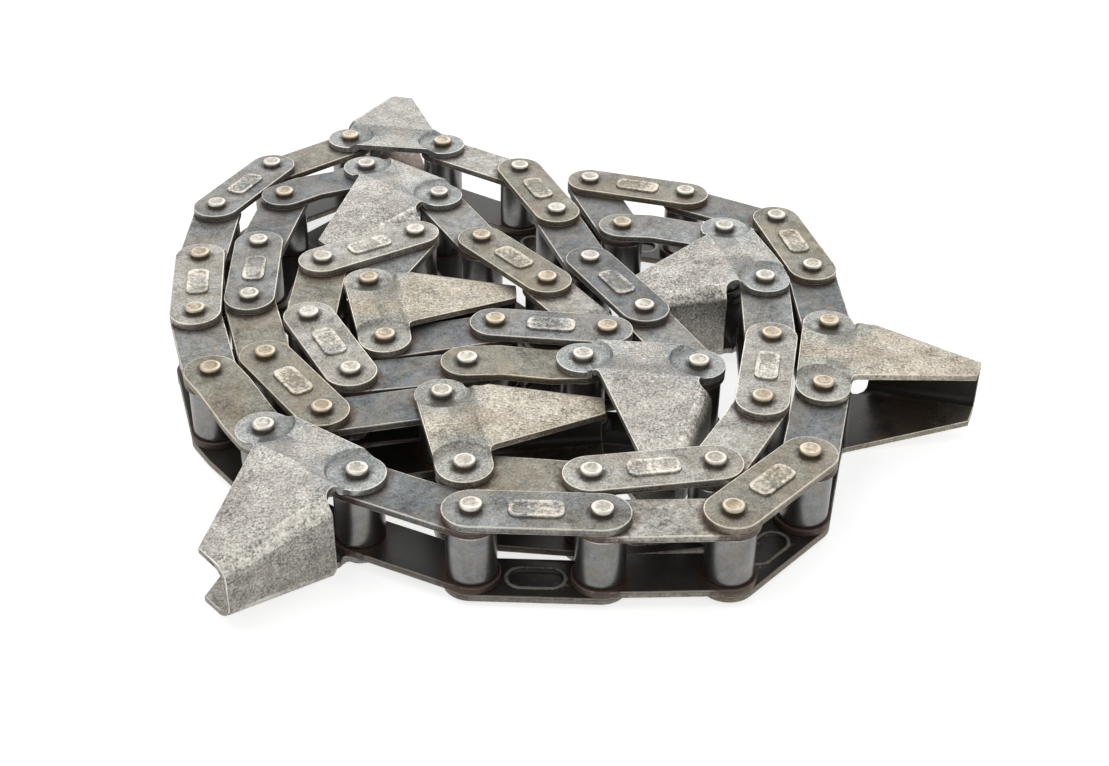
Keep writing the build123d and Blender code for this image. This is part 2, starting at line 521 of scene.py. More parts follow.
@dataclass
class PlateShape:
    """Flat side plates with full round ends, sheared from strip."""

    edge: float = 0.28 * MM
    land: float = 0.35 * MM

    def upper(self, bm: bmesh.types.BMesh, low: float) -> None:
        """Adds one plate above the middle plane.

        Args:
            bm: The mesh to add to.
            low: Height of the plate's underside.
        """
        thick = SIZES.plate_thick
        thicken(bm, obround_face(bm, SIZES.plate_radius, SIZES.pitch, low), thick)
        walls = [edge for edge in bm.edges if abs(edge.verts[0].co.z - edge.verts[1].co.z) > thick / 2]
        bmesh.ops.subdivide_edges(bm, edges=walls, cuts=1, use_grid_fill=True)

    def build_inner(self, name: str) -> bpy.types.Mesh:
        """Builds the two inner plates and the bushes pressed into them.

        Args:
            name: Name for the mesh data.

        Returns:
            The finished mesh data.
        """
        bm = bmesh.new()
        self.upper(bm, SIZES.inner_low)
        ease_edges(bm, self.edge, self.land)
        mark_oil_and_shade(bm, SIZES.inner_low)
        mirrored_below(bm)
        RollerShape().build_bushes((0.0, SIZES.pitch), bm)
        return to_mesh(bm, name)


@dataclass
class PaddedPlateShape(PlateShape):
    """Outer plates, each with an oblong pad coined in its middle: a low rim round a shallow panel.

    The punch leaves a pocket with a low lip in the plate's inner face. The lip's steps run from its foot to
    the pocket's floor, and each one is how far it goes inwards and how far up.
    """

    pad_length: float = 18.0 * MM
    pad_width: float = 8.6 * MM
    pad_rise: float = 0.8 * MM
    pad_root: float = 0.5 * MM
    pad_corner: float = 2.9 * MM
    corner_steps: int = 5
    pad_edge: float = 0.4 * MM
    rim: float = 1.2 * MM
    panel_run: float = 0.55 * MM
    panel_depth: float = 0.22 * MM
    rim_wear: float = 0.70
    panel_wear: float = 0.55
    pocket_wear: float = 0.42
    lip: float = 1.7 * MM
    lip_top: float = 0.05 * MM
    # Painted highlight on the lip round the pocket.
    lip_highlight: float = 0.85
    lip_steps: tuple[tuple[float, float], ...] = (
        (0.20 * MM, 0.0), (0.40 * MM, -0.07 * MM), (0.25 * MM, -0.05 * MM), (0.60 * MM, 0.0),
        (0.25 * MM, 0.12 * MM), (0.15 * MM, 0.40 * MM), (0.35 * MM, 0.50 * MM), (0.30 * MM, 0.0),
    )

    def pad(self, bm: bmesh.types.BMesh) -> None:
        """Adds the pad to an eased plate, as a closed block that is rooted in it, and marks it as rubbed.

        Args:
            bm: The plate's mesh.
        """
        base = SIZES.outer_low + SIZES.plate_thick - self.pad_root
        height = self.pad_rise + self.pad_root
        ledge = base + height
        before = set(bm.verts)
        verts = bmesh.ops.create_cube(bm, size=1.0)["verts"]
        bmesh.ops.scale(bm, vec=(self.pad_length, self.pad_width, height), verts=verts)
        bmesh.ops.translate(bm, vec=(SIZES.pitch / 2, 0, base + height / 2), verts=verts)
        posts = {edge for vert in verts for edge in vert.link_edges
                 if abs(edge.verts[0].co.z - edge.verts[1].co.z) > height / 2}
        round_edges(bm, list(posts), self.pad_corner, self.corner_steps)
        top = max(bm.faces, key=lambda face: face.calc_center_median().z)
        bmesh.ops.inset_region(bm, faces=[top], thickness=self.rim, use_even_offset=True)
        bmesh.ops.inset_region(bm, faces=[top], thickness=self.panel_run, depth=-self.panel_depth,
                               use_even_offset=True)
        rims = [edge for edge in sharp_edges(bm) if edge.verts[0] not in before
                and min(vert.co.z for vert in edge.verts) > ledge - SLACK]
        round_edges(bm, rims, self.pad_edge)
        wear_and_highlight = bm.verts.layers.float["wear_and_highlight"]
        for vert in bm.verts:
            if vert not in before:
                vert[wear_and_highlight] = self.rim_wear if vert.co.z > ledge - self.panel_depth / 2 else self.panel_wear

    def pocket(self, bm: bmesh.types.BMesh) -> None:
        """Sinks the punch's oblong pocket, with the low lip round it, into an eased plate's inner face.

        Args:
            bm: The plate's mesh.
        """
        heights = {face: round(face.calc_center_median().z / MM, 3) for face in bm.faces}
        under = min(heights, key=lambda face: (heights[face], -face.calc_area()))
        outline = list(under.edges)
        bmesh.ops.delete(bm, geom=[under], context="FACES_ONLY")
        length = self.pad_length - self.pad_width
        before = set(bm.verts)
        floor = obround_face(bm, self.pad_width / 2 + self.lip, length, SIZES.outer_low)
        verts = [vert for vert in bm.verts if vert not in before]
        bmesh.ops.translate(bm, vec=((SIZES.pitch - length) / 2, 0, 0), verts=verts)
        bmesh.ops.bridge_loops(bm, edges=outline + list(floor.edges))
        for inwards, rise in self.lip_steps:
            bmesh.ops.inset_region(bm, faces=[floor], thickness=inwards, use_even_offset=True)
            bmesh.ops.translate(bm, vec=(0, 0, rise), verts=list(floor.verts))

    def mark_pocket(self, bm: bmesh.types.BMesh) -> None:
        """Marks the pocket as oily, with painted shade, and its lip with a painted highlight.

        Args:
            bm: The plate's mesh, with its pocket.
        """
        wear_and_highlight, oil_and_shade = bm.verts.layers.float["wear_and_highlight"], bm.verts.layers.float["oil_and_shade"]
        for vert in bm.verts:
            along, across = abs(vert.co.x - SIZES.pitch / 2), abs(vert.co.y)
            if along < self.pad_length / 2 + self.lip and across < self.pad_width / 2 + self.lip:
                # Black oily coat with painted shade over the pocket, and a painted highlight on its lip.
                vert[oil_and_shade] = 1.0
                on_lip = vert.co.z < SIZES.outer_low - self.lip_top
                vert[wear_and_highlight] = self.lip_highlight if on_lip else self.pocket_wear

    def build_outer(self, name: str) -> bpy.types.Mesh:
        """Builds the two outer plates with their pads and pockets.

        Args:
            name: Name for the mesh data.

        Returns:
            The finished mesh data.
        """
        bm = bmesh.new()
        self.upper(bm, SIZES.outer_low)
        ease_edges(bm, self.edge, self.land)
        self.pocket(bm)
        mark_oil_and_shade(bm, SIZES.outer_low)
        self.mark_pocket(bm)
        self.pad(bm)
        mirrored_below(bm)
        return to_mesh(bm, name)


@dataclass
class CrankedPlateShape(PlateShape):
    """Offset plates: the narrow end lies with the inner plates and the wide end with the outer ones."""

    bend_steps: int = 5
    bend_run: float = 3.0 * MM

    def crank_start(self) -> float:
        """Where along the link the slanted stretch starts."""
        return (SIZES.pitch - SIZES.crank_run) / 2

    def level(self, x: float) -> float:
        """How far the plate has stepped out at a point along the link.

        Args:
            x: Distance from the first pin.

        Returns:
            The step, from 0 at the narrow end to the full crank at the wide end, with rounded bends.
        """
        full = SIZES.outer_low - SIZES.inner_low
        share = (x - self.crank_start()) / SIZES.crank_run
        soft = self.bend_run / SIZES.crank_run
        if share <= -soft / 2:
            return 0.0
        if share >= 1 + soft / 2:
            return full
        if share < soft / 2:
            return full * (share + soft / 2) ** 2 / (2 * soft)
        if share > 1 - soft / 2:
            return full - full * (1 + soft / 2 - share) ** 2 / (2 * soft)
        return full * share

    def build_offset(self, name: str) -> bpy.types.Mesh:
        """Builds the two cranked plates and the bush in their narrow end.

        Args:
            name: Name for the mesh data.

        Returns:
            The finished mesh data.
        """
        bm = bmesh.new()
        self.upper(bm, SIZES.inner_low)
        for bend in (self.crank_start(), self.crank_start() + SIZES.crank_run):
            for step in range(self.bend_steps):
                x = bend + self.bend_run * (step / (self.bend_steps - 1) - 0.5)
                bmesh.ops.bisect_plane(bm, geom=bm.verts[:] + bm.edges[:] + bm.faces[:], plane_co=(x, 0, 0),
                                       plane_no=(1, 0, 0))
        ease_edges(bm, self.edge, self.land)
        mark_oil_and_shade(bm, SIZES.inner_low)
        for vert in bm.verts:
            vert.co.z += self.level(vert.co.x)
        mirrored_below(bm)
        RollerShape().build_bushes((0.0,), bm)
        return to_mesh(bm, name)


@dataclass
class LugShape:
    """The folded gathering lug: its sheared outline eased all round, taken from the frame's own sheet.

    Edges shorter than the shortest length are merged before the easing. The inside of the folded web reaches
    web_room from the middle plane, less where the sides slope in. A point faces a way when its normal's share
    that way is over the limit, and lies on the rounded fold when its outward share is between two limits.
    """

    edge: float = 0.25 * MM
    land: float = 0.15 * MM
    weld: float = 0.002 * MM
    shortest: float = 0.45 * MM
    flat: float = math.radians(1.0)
    sheared: float = math.radians(74)
    web_room: float = 14.5 * MM
    taper_start: float = 12.0 * MM
    taper: float = math.radians(8.0)
    bend_start: float = 13.0 * MM
    facing: float = 0.3
    fold_facing: tuple[float, float] = (0.2, 0.97)
    # Painted highlight along the rounded fold, carried as though the fold were rubbed.
    bend_highlight: float = 0.66
    edge_wear_and_highlight: float = 0.5

    def sheet(self, node: bpy.types.Object, matrix: Matrix) -> bmesh.types.BMesh:
        """Copies a lug's sheet out of its CAD node and merges its loose triangles.

        Args:
            node: The lug's CAD node, which holds the sheet and its two pins.
            matrix: The link's place.

        Returns:
            The sheet in the link's own frame.
        """
        bm = bmesh.new()
        bm.from_mesh(node.data)
        bmesh.ops.transform(bm, matrix=matrix.inverted(), verts=bm.verts)
        bmesh.ops.remove_doubles(bm, verts=bm.verts, dist=self.weld)
        kept = max(shells(bm), key=lambda shell: max(vert.co.y for vert in shell))
        loose = [vert for vert in bm.verts if vert not in kept]
        bmesh.ops.delete(bm, geom=loose, context="VERTS")
        bmesh.ops.dissolve_limit(bm, angle_limit=self.flat, verts=bm.verts, edges=bm.edges)
        bmesh.ops.dissolve_degenerate(bm, dist=self.shortest, edges=bm.edges)
        bmesh.ops.dissolve_limit(bm, angle_limit=self.flat, verts=bm.verts, edges=bm.edges)
        return bm

    def build(self, node: bpy.types.Object, matrix: Matrix, name: str) -> bpy.types.Mesh:
        """Builds the sheet with eased edges, a black oily coat with painted shade on its inside and
        underside, and a painted highlight along its fold.

        Args:
            node: The lug's CAD node, which holds the sheet and its two pins.
            matrix: The link's place.
            name: Name for the mesh data.

        Returns:
            The finished mesh data, in the link's own frame.
        """
        bm = self.sheet(node, matrix)
        corners = [[pick(vert.co[axis] for vert in bm.verts) for axis in range(3)] for pick in (min, max)]
        ease_edges(bm, self.edge, self.land, low=self.sheared)
        for vert in bm.verts:
            vert.co = [min(max(value, low), high) for value, low, high in zip(vert.co, *corners)]
        bm.normal_update()
        wear_and_highlight = bm.verts.layers.float["wear_and_highlight"]
        oil_and_shade = bm.verts.layers.float.new("oil_and_shade")
        least, most = self.fold_facing
        for vert in bm.verts:
            outward = vert.normal.z * math.copysign(1.0, vert.co.z)
            room = self.web_room - max(vert.co.y - self.taper_start, 0.0) * math.tan(self.taper)
            past_bend = vert.co.y > self.bend_start
            # Black oily coat with painted shade on the sheet's underside and on the inside of its web.
            under_side = outward < -self.facing and abs(vert.co.z) > SIZES.inner_low
            in_web = vert.normal.x > self.facing and past_bend and abs(vert.co.z) < room
            vert[oil_and_shade] = 1.0 if under_side or in_web else 0.0
            # Painted highlight along the rounded fold, where the edges aren't already brighter.
            if past_bend and least < outward < most and vert[wear_and_highlight] < self.edge_wear_and_highlight:
                vert[wear_and_highlight] = self.bend_highlight
        return to_mesh(bm, name)


# ---------------------------------------------------------------------------------------------------------
# Node groups shared by the finishes
# ---------------------------------------------------------------------------------------------------------


def feed(tree: bpy.types.NodeTree, target: bpy.types.NodeSocket, value: object) -> None:
    """Gives an input a plain value, or links it to another node's output.

    Args:
        tree: The tree that holds the input.
        target: The input.
        value: A number, a colour or an output.
    """
    if isinstance(value, bpy.types.NodeSocket):
        tree.links.new(value, target)
    else:
        target.default_value = value


class GroupMaker:
    """Helps to write one shader node group, whose sockets are all plain values."""

    def __init__(self, name: str, inputs: dict[str, float], outputs: tuple[str, ...]) -> None:
        """Starts a group with its sockets, its two end nodes and its Object coordinates.

        Args:
            name: The group's name.
            inputs: The inputs' names with their default values.
            outputs: The outputs' names.
        """
        self.tree = bpy.data.node_groups.new(name, "ShaderNodeTree")
        self.entry = self.tree.nodes.new("NodeGroupInput")
        self.exit = self.tree.nodes.new("NodeGroupOutput")
        for label, value in inputs.items():
            made = self.tree.interface.new_socket(name=label, in_out="INPUT", socket_type="NodeSocketFloat")
            made.default_value = value
        for label in outputs:
            self.tree.interface.new_socket(name=label, in_out="OUTPUT", socket_type="NodeSocketFloat")
        self.place = self.node("ShaderNodeTexCoord").outputs["Object"]

    def node(self, kind: str, **settings: object) -> bpy.types.Node:
        """Adds a node.

        Args:
            kind: The node's type.
            **settings: Properties to set on it.

        Returns:
            The new node.
        """
        made = self.tree.nodes.new(kind)
        for key, value in settings.items():
            setattr(made, key, value)
        return made

    def value(self, name: str) -> bpy.types.NodeSocket:
        """One of the group's inputs."""
        return self.entry.outputs[name]

    def give(self, name: str, source: bpy.types.NodeSocket) -> None:
        """Puts a result out of the group."""
        self.tree.links.new(source, self.exit.inputs[name])

    def marked(self, attribute: str) -> bpy.types.NodeSocket:
        """Reads one of the pieces' own attributes."""
        return self.node("ShaderNodeAttribute", attribute_name=attribute).outputs["Fac"]

    def split(self, vector: bpy.types.NodeSocket) -> bpy.types.NodeOutputs:
        """Splits a vector into its parts.

        Args:
            vector: The vector.

        Returns:
            The outputs, by the names X, Y and Z.
        """
        parts = self.node("ShaderNodeSeparateXYZ")
        self.tree.links.new(vector, parts.inputs[0])
        return parts.outputs

    def maths(self, operation: str, first: object, second: object = 0.0,
              clamp: bool = False) -> bpy.types.NodeSocket:
        """Adds a Math node.

        Args:
            operation: What it does.
            first: Its first input, a socket or a number.
            second: Its second input, a socket or a number.
            clamp: Whether the result is kept between 0 and 1.

        Returns:
            The node's result.
        """
        made = self.node("ShaderNodeMath", operation=operation, use_clamp=clamp)
        feed(self.tree, made.inputs[0], first)
        feed(self.tree, made.inputs[1], second)
        return made.outputs[0]

    def swing(self, value: bpy.types.NodeSocket, gain: float) -> bpy.types.NodeSocket:
        """A noise's swing about its middle value, made stronger or weaker."""
        return self.maths("MULTIPLY", self.maths("SUBTRACT", value, 0.5), gain)

    def noise(self, scale: object, detail: float = 3.0, roughness: float = 0.55,
              distortion: float = 0.0) -> bpy.types.NodeSocket:
        """Adds a noise texture on Object coordinates.

        Args:
            scale: How fine it is, a socket or a number, in waves to the metre.
            detail: Number of finer layers.
            roughness: How strong the finer layers are.
            distortion: How much it is warped.

        Returns:
            The noise's value, about 0.5 on average.
        """
        made = self.node("ShaderNodeTexNoise")
        settings = {"Scale": scale, "Detail": detail, "Roughness": roughness, "Distortion": distortion}
        for name, value in settings.items():
            feed(self.tree, made.inputs[name], value)
        self.tree.links.new(self.place, made.inputs["Vector"])
        return made.outputs[0]

    def step(self, value: bpy.types.NodeSocket, low: object, high: object) -> bpy.types.NodeSocket:
        """Adds a smooth step.

        Args:
            value: What is stepped.
            low: Where the step is still 0, a socket or a number.
            high: Where it has reached 1, a socket or a number.

        Returns:
            The step's result.
        """
        made = self.node("ShaderNodeMapRange", interpolation_type="SMOOTHSTEP")
        for name, source in (("Value", value), ("From Min", low), ("From Max", high)):
            feed(self.tree, made.inputs[name], source)
        return made.outputs["Result"]


def mottle_group() -> bpy.types.NodeTree:
    """Makes the blotches, fine grain, dark specks and broad tinted patches of used steel.

    Returns:
        The group. Tone and Height follow the blotches and the grain.
    """
    group = GroupMaker("steel_mottle",
                       {"Blotch Size": 0.012, "Grain Size": 0.0007, "Grain Share": 0.5, "Contrast": 1.0},
                       ("Tone", "Specks", "Tint", "Height"))
    blotch_scale = group.maths("DIVIDE", 1.0, group.value("Blotch Size"))
    patch_scale = group.maths("MULTIPLY", blotch_scale, 4.3)
    grain_scale = group.maths("DIVIDE", 1.0, group.value("Grain Size"))
    speck_scale = group.maths("MULTIPLY", grain_scale, 0.45)
    share = group.value("Grain Share")
    blotch = group.noise(blotch_scale, detail=5.0, roughness=0.62, distortion=0.6)
    patch = group.noise(patch_scale, detail=4.0, roughness=0.65)
    grain = group.noise(grain_scale, detail=3.0, roughness=0.75)
    broad = group.maths("ADD", group.swing(blotch, gain=1.7), group.swing(patch, gain=1.3))
    fine = group.swing(grain, gain=3.4)
    tone = group.maths("ADD", group.maths("MULTIPLY", broad, group.maths("SUBTRACT", 1.0, share)),
                       group.maths("MULTIPLY", fine, share))
    tone = group.maths("MULTIPLY", tone, group.value("Contrast"))
    group.give("Tone", group.maths("ADD", tone, 0.5, clamp=True))
    speck = group.noise(speck_scale, detail=4.0, roughness=0.8)
    speck = group.maths("ADD", speck, group.swing(blotch, gain=-0.35))
    group.give("Specks", group.step(speck, low=0.56, high=0.66))
    tinted = group.noise(scale=62.0, detail=5.0, roughness=0.68, distortion=0.8)
    group.give("Tint", group.step(tinted, low=0.44, high=0.60))
    height = group.maths("ADD", group.maths("MULTIPLY", patch, 0.4), group.maths("MULTIPLY", grain, 0.6))
    group.give("Height", height)
    return group.tree


def wear_and_highlight_group() -> bpy.types.NodeTree:
    """Makes the mask of rubbed, bright metal and of painted highlights, from the pieces' "wear" attribute
    broken up by noise.

    Returns:
        The group. Worn is 1 on rubbed, bright metal and on painted highlights.
    """
    group = GroupMaker("edge_wear_and_highlight", {"Ragged Size": 0.0016, "Reach": 0.5}, ("Worn And Highlit",))
    ragged = group.noise(group.maths("DIVIDE", 1.0, group.value("Ragged Size")), detail=4.0, roughness=0.7)
    sweep = group.noise(scale=90.0, detail=2.0)
    level = group.maths("ADD", group.marked("wear_and_highlight"), group.swing(ragged, gain=1.1))
    level = group.maths("ADD", level, group.swing(sweep, gain=0.9))
    low = group.maths("SUBTRACT", 1.0, group.value("Reach"))
    group.give("Worn And Highlit", group.step(level, low, group.maths("ADD", low, 0.45)))
    return group.tree


def joint_group() -> bpy.types.NodeTree:
    """Makes a ragged ring round each of the link's two pins, from the "plan" map, for greasy dirt with
    painted shade where the parts meet, or for heat.

    Returns:
        The group. Ring is 1 within the inner radius and 0 outside the outer one.
    """
    group = GroupMaker("pin_surround", {"Inner": 0.004, "Outer": 0.009, "Ragged": 0.35}, ("Ring",))
    plan = group.split(group.node("ShaderNodeUVMap", uv_map="plan").outputs["UV"])
    along = group.maths("MULTIPLY", plan["X"], PLAN_UNIT)
    across = group.maths("MULTIPLY", plan["Y"], PLAN_UNIT)
    along = group.maths("ABSOLUTE", group.maths("SUBTRACT", along, SIZES.pitch / 2))
    along = group.maths("SUBTRACT", along, SIZES.pitch / 2)
    reach = group.maths("SQRT", group.maths("ADD", group.maths("MULTIPLY", along, along),
                                            group.maths("MULTIPLY", across, across)))
    shake = group.swing(group.noise(scale=420.0, detail=4.0, roughness=0.65), gain=2.0)
    shake = group.maths("MULTIPLY", shake, group.value("Ragged"))
    shake = group.maths("MULTIPLY", shake, group.value("Outer"))
    faded = group.step(group.maths("ADD", reach, shake), group.value("Inner"), group.value("Outer"))
    group.give("Ring", group.maths("SUBTRACT", 1.0, faded))
    return group.tree


def oil_and_shade_group() -> bpy.types.NodeTree:
    """Makes the black oily coat with painted shade on the faces that look inwards, and a darker, browner
    colour that grows towards the floor.

    Returns:
        The group. Film is the black oily coat with painted shade, Fringe its brown seam and Grime the
        darkening towards the floor.
    """
    group = GroupMaker("black_oil_and_shade", {}, ("Film And Shade", "Fringe", "Near Floor Dark"))
    smear = group.noise(scale=160.0, detail=4.0, roughness=0.6, distortion=0.5)
    # Black oily coat with painted shade on the faces marked as looking inwards.
    film_and_shade = group.maths("ADD", group.marked("oil_and_shade"), group.swing(smear, gain=0.9))
    group.give("Film And Shade", group.step(film_and_shade, low=0.3, high=0.8))
    seam_end = group.maths("SUBTRACT", 1.0, group.step(film_and_shade, low=0.5, high=0.9))
    group.give("Fringe", group.maths("MULTIPLY", group.step(film_and_shade, low=0.14, high=0.34), seam_end))
    # Darker towards the floor, by height above it.
    depth = group.maths("ADD", group.split(group.place)["Z"], group.swing(smear, gain=0.022))
    group.give("Near Floor Dark", group.maths("SUBTRACT", 1.0, group.step(depth, low=0.001, high=0.026)))
    return group.tree


def rust_group() -> bpy.types.NodeTree:
    """Makes scattered orange-brown flecks that gather in patches and like the edges.

    Returns:
        The group. Mask is 1 on the flecks.
    """
    group = GroupMaker("rust_flecks", {"Fleck Size": 0.0011, "Amount": 0.5}, ("Mask",))
    flecks = group.noise(group.maths("DIVIDE", 1.0, group.value("Fleck Size")), detail=5.0, roughness=0.72)
    patches = group.noise(scale=34.0, detail=3.0, roughness=0.6, distortion=0.4)
    level = group.maths("ADD", group.maths("MULTIPLY", flecks, 0.9), group.maths("MULTIPLY", patches, 0.6))
    level = group.maths("ADD", level, group.maths("MULTIPLY", group.marked("wear_and_highlight"), 0.07))
    level = group.maths("ADD", level, group.maths("MULTIPLY", group.value("Amount"), 0.1))
    group.give("Mask", group.step(level, low=0.96, high=1.06))
    return group.tree


# ---------------------------------------------------------------------------------------------------------
# Finishes
# ---------------------------------------------------------------------------------------------------------


@dataclass(frozen=True)
class SteelFinish:
    """One finish of used steel: its colours, its gloss and how strong each kind of mark is, painted light and
    shade among them.

    The tone runs from dark to light. Over it lie, in this order, the tint, the specks, the heat, the
    darkening towards the floor, the rust, the black oily coat with painted shade and its fringe, the rubbed
    metal with its painted highlights and the greasy ring with painted shade round the pins.
    """

    name: str
    dark: Colour
    light: Colour
    worn_and_highlit: Colour
    tint: Colour = (0.235, 0.190, 0.125)
    speck: Colour = (0.050, 0.043, 0.036)
    heat: Colour = (0.165, 0.215, 0.240)
    # Darker, browner colour towards the floor.
    near_floor_dark: Colour = (0.085, 0.072, 0.050)
    rust: Colour = (0.205, 0.098, 0.042)
    # Near black: the oily coat with painted shade on the faces that look inwards.
    film_and_shade: Colour = (0.008, 0.008, 0.007)
    fringe: Colour = (0.105, 0.050, 0.030)
    # Greasy ring round the pins, with painted shade where the parts meet.
    grease_and_shade: Colour = (0.040, 0.030, 0.022)
    sheen: float = 0.2
    metal: float = 0.8
    metal_rust: float = 0.05
    metal_grease_and_shade: float = 0.15
    metal_film_and_shade: float = 0.05
    rough_dark: float = 0.56
    rough_light: float = 0.40
    rough_rust: float = 0.8
    rough_film_and_shade: float = 0.3
    rough_worn_and_highlit: float = 0.28
    rough_grease_and_shade: float = 0.38
    blotch_size: float = 0.014
    grain_size: float = 0.0008
    grain_share: float = 0.5
    contrast: float = 1.0
    tint_strength: float = 0.3
    speck_depth: float = 0.5
    heat_strength: float = 0.0
    heat_inner: float = 0.006
    heat_outer: float = 0.021
    heat_ragged: float = 0.8
    near_floor_dark_strength: float = 0.4
    worn_near_floor: float = 0.1
    rust_amount: float = 0.4
    rust_strength: float = 0.6
    film_and_shade_strength: float = 0.97
    fringe_strength: float = 0.6
    wear_and_highlight_reach: float = 0.54
    wear_and_highlight_strength: float = 0.68
    grease_inner: float = 0.0038
    grease_and_shade_outer: float = 0.0060
    grease_and_shade_strength: float = 0.8
    bump: float = 0.2
    bump_height: float = 0.0002


class FinishMaker:
    """Turns finishes into materials that share the same node groups."""

    def __init__(self) -> None:
        """Builds the shared groups once."""
        self.mottle = mottle_group()
        self.wear_and_highlight = wear_and_highlight_group()
        self.joint = joint_group()
        self.rust = rust_group()
        self.oil_and_shade = oil_and_shade_group()

    def use(self, tree: bpy.types.NodeTree, group: bpy.types.NodeTree,
            **values: float) -> bpy.types.NodeOutputs:
        """Places a group in a material.

        Args:
            tree: The material's tree.
            group: The group to place.
            **values: Its inputs, named with _ for a space.

        Returns:
            The group's outputs.
        """
        made = tree.nodes.new("ShaderNodeGroup")
        made.node_tree = group
        for key, value in values.items():
            made.inputs[key.replace("_", " ")].default_value = value
        return made.outputs

    def scaled(self, tree: bpy.types.NodeTree, mask: bpy.types.NodeSocket,
               strength: float) -> bpy.types.NodeSocket:
        """Scales a mask by a strength.

        Args:
            tree: The material's tree.
            mask: The mask.
            strength: What it is multiplied by.

        Returns:
            The scaled mask.
        """
        made = tree.nodes.new("ShaderNodeMath")
        made.operation = "MULTIPLY"
        made.inputs[1].default_value = strength
        tree.links.new(mask, made.inputs[0])
        return made.outputs[0]

    def mixed(self, tree: bpy.types.NodeTree, mask: bpy.types.NodeSocket, under: object, over: object,
              colour: bool = True) -> bpy.types.NodeSocket:
        """Lays one colour or value over another where a mask says.

        Args:
            tree: The material's tree.
            mask: How much of the upper one shows.
            under: The lower one, as a socket or a value.
            over: The upper one, as a socket or a value.
            colour: Whether they are colours, and not plain numbers.

        Returns:
            The mixed socket.
        """
        made = tree.nodes.new("ShaderNodeMix")
        made.data_type = "RGBA" if colour else "FLOAT"
        lower, upper, result = MIX_SOCKETS[made.data_type]
        tree.links.new(mask, made.inputs[0])
        for index, value in ((lower, under), (upper, over)):
            feed(tree, made.inputs[index], (*value, 1.0) if isinstance(value, tuple) else value)
        return made.outputs[result]

    def layered(self, tree: bpy.types.NodeTree, masks: dict[str, bpy.types.NodeSocket], base: object,
                layers: dict[str, object], colour: bool = True) -> bpy.types.NodeSocket:
        """Lays several colours or values over a base, one after another.

        Args:
            tree: The material's tree.
            masks: The finish's masks by name.
            base: The lowest one, as a socket or a value.
            layers: The colour or value of each layer by its mask's name, from the lowest up. A layer whose
                mask the finish doesn't have is left out.
            colour: Whether they are colours, and not plain numbers.

        Returns:
            The mixed socket.
        """
        for name, over in layers.items():
            if name in masks:
                base = self.mixed(tree, masks[name], base, over, colour)
        return base

    def masks(self, tree: bpy.types.NodeTree, finish: SteelFinish) -> dict[str, bpy.types.NodeSocket]:
        """Places the shared groups and scales their masks by the finish's strengths.

        Args:
            tree: The material's tree.
            finish: The finish.

        Returns:
            The masks by name, with the mottle's height.
        """
        mottle = self.use(tree, self.mottle, Blotch_Size=finish.blotch_size, Grain_Size=finish.grain_size,
                          Grain_Share=finish.grain_share, Contrast=finish.contrast)
        wear_and_highlight = self.use(tree, self.wear_and_highlight, Reach=finish.wear_and_highlight_reach)
        grease_and_shade = self.use(tree, self.joint, Inner=finish.grease_inner, Outer=finish.grease_and_shade_outer)
        rust = self.use(tree, self.rust, Amount=finish.rust_amount)
        oil_and_shade = self.use(tree, self.oil_and_shade)
        found = {
            "tint": self.scaled(tree, mottle["Tint"], finish.tint_strength),
            "speck": self.scaled(tree, mottle["Specks"], finish.speck_depth),
            "near_floor_dark": self.scaled(tree, oil_and_shade["Near Floor Dark"], finish.near_floor_dark_strength),
            "rust": self.scaled(tree, rust["Mask"], finish.rust_strength),
            "film_and_shade": self.scaled(tree, oil_and_shade["Film And Shade"], finish.film_and_shade_strength),
            "fringe": self.scaled(tree, oil_and_shade["Fringe"], finish.fringe_strength),
            "worn_and_highlit": self.scaled(tree, wear_and_highlight["Worn And Highlit"], finish.wear_and_highlight_strength),
            "grease_and_shade": self.scaled(tree, grease_and_shade["Ring"], finish.grease_and_shade_strength),
        }
        if finish.heat_strength:
            heat = self.use(tree, self.joint, Inner=finish.heat_inner, Outer=finish.heat_outer,
                            Ragged=finish.heat_ragged)
            found["heat"] = self.scaled(tree, heat["Ring"], finish.heat_strength)
        # Towards the floor the rubbed-edge mask drops to a low level.
        found["worn_and_highlit"] = self.mixed(tree, found["near_floor_dark"], found["worn_and_highlit"], finish.worn_near_floor, colour=False)
        return found | {"tone": mottle["Tone"], "height": mottle["Height"]}

    def build(self, finish: SteelFinish) -> bpy.types.Material:
        """Makes the material of one finish.

        Args:
            finish: Its colours and strengths.

        Returns:
            The material, which reads Object coordinates, the "plan" map and the "wear" and "oil" attributes,
            with the painted highlights and painted shade that they carry.
        """
        material = bpy.data.materials.new(finish.name)
        material.use_nodes = True
        tree = material.node_tree
        shader = tree.nodes["Principled BSDF"]
        shader.inputs["Specular IOR Level"].default_value = finish.sheen
        masks = self.masks(tree, finish)
        colour = self.mixed(tree, masks["tone"], finish.dark, finish.light)
        colour = self.layered(tree, masks, colour, {
            "tint": finish.tint, "speck": finish.speck, "heat": finish.heat, "near_floor_dark": finish.near_floor_dark,
            "rust": finish.rust, "film_and_shade": finish.film_and_shade, "fringe": finish.fringe, "worn_and_highlit": finish.worn_and_highlit,
            "grease_and_shade": finish.grease_and_shade,
        })
        tree.links.new(colour, shader.inputs["Base Color"])
        gloss = self.mixed(tree, masks["tone"], finish.rough_dark, finish.rough_light, colour=False)
        gloss = self.layered(tree, masks, gloss, {
            "rust": finish.rough_rust, "film_and_shade": finish.rough_film_and_shade, "worn_and_highlit": finish.rough_worn_and_highlit,
            "grease_and_shade": finish.rough_grease_and_shade,
        }, colour=False)
        tree.links.new(gloss, shader.inputs["Roughness"])
        metal = self.layered(tree, masks, finish.metal, {
            "rust": finish.metal_rust, "grease_and_shade": finish.metal_grease_and_shade, "film_and_shade": finish.metal_film_and_shade,
        }, colour=False)
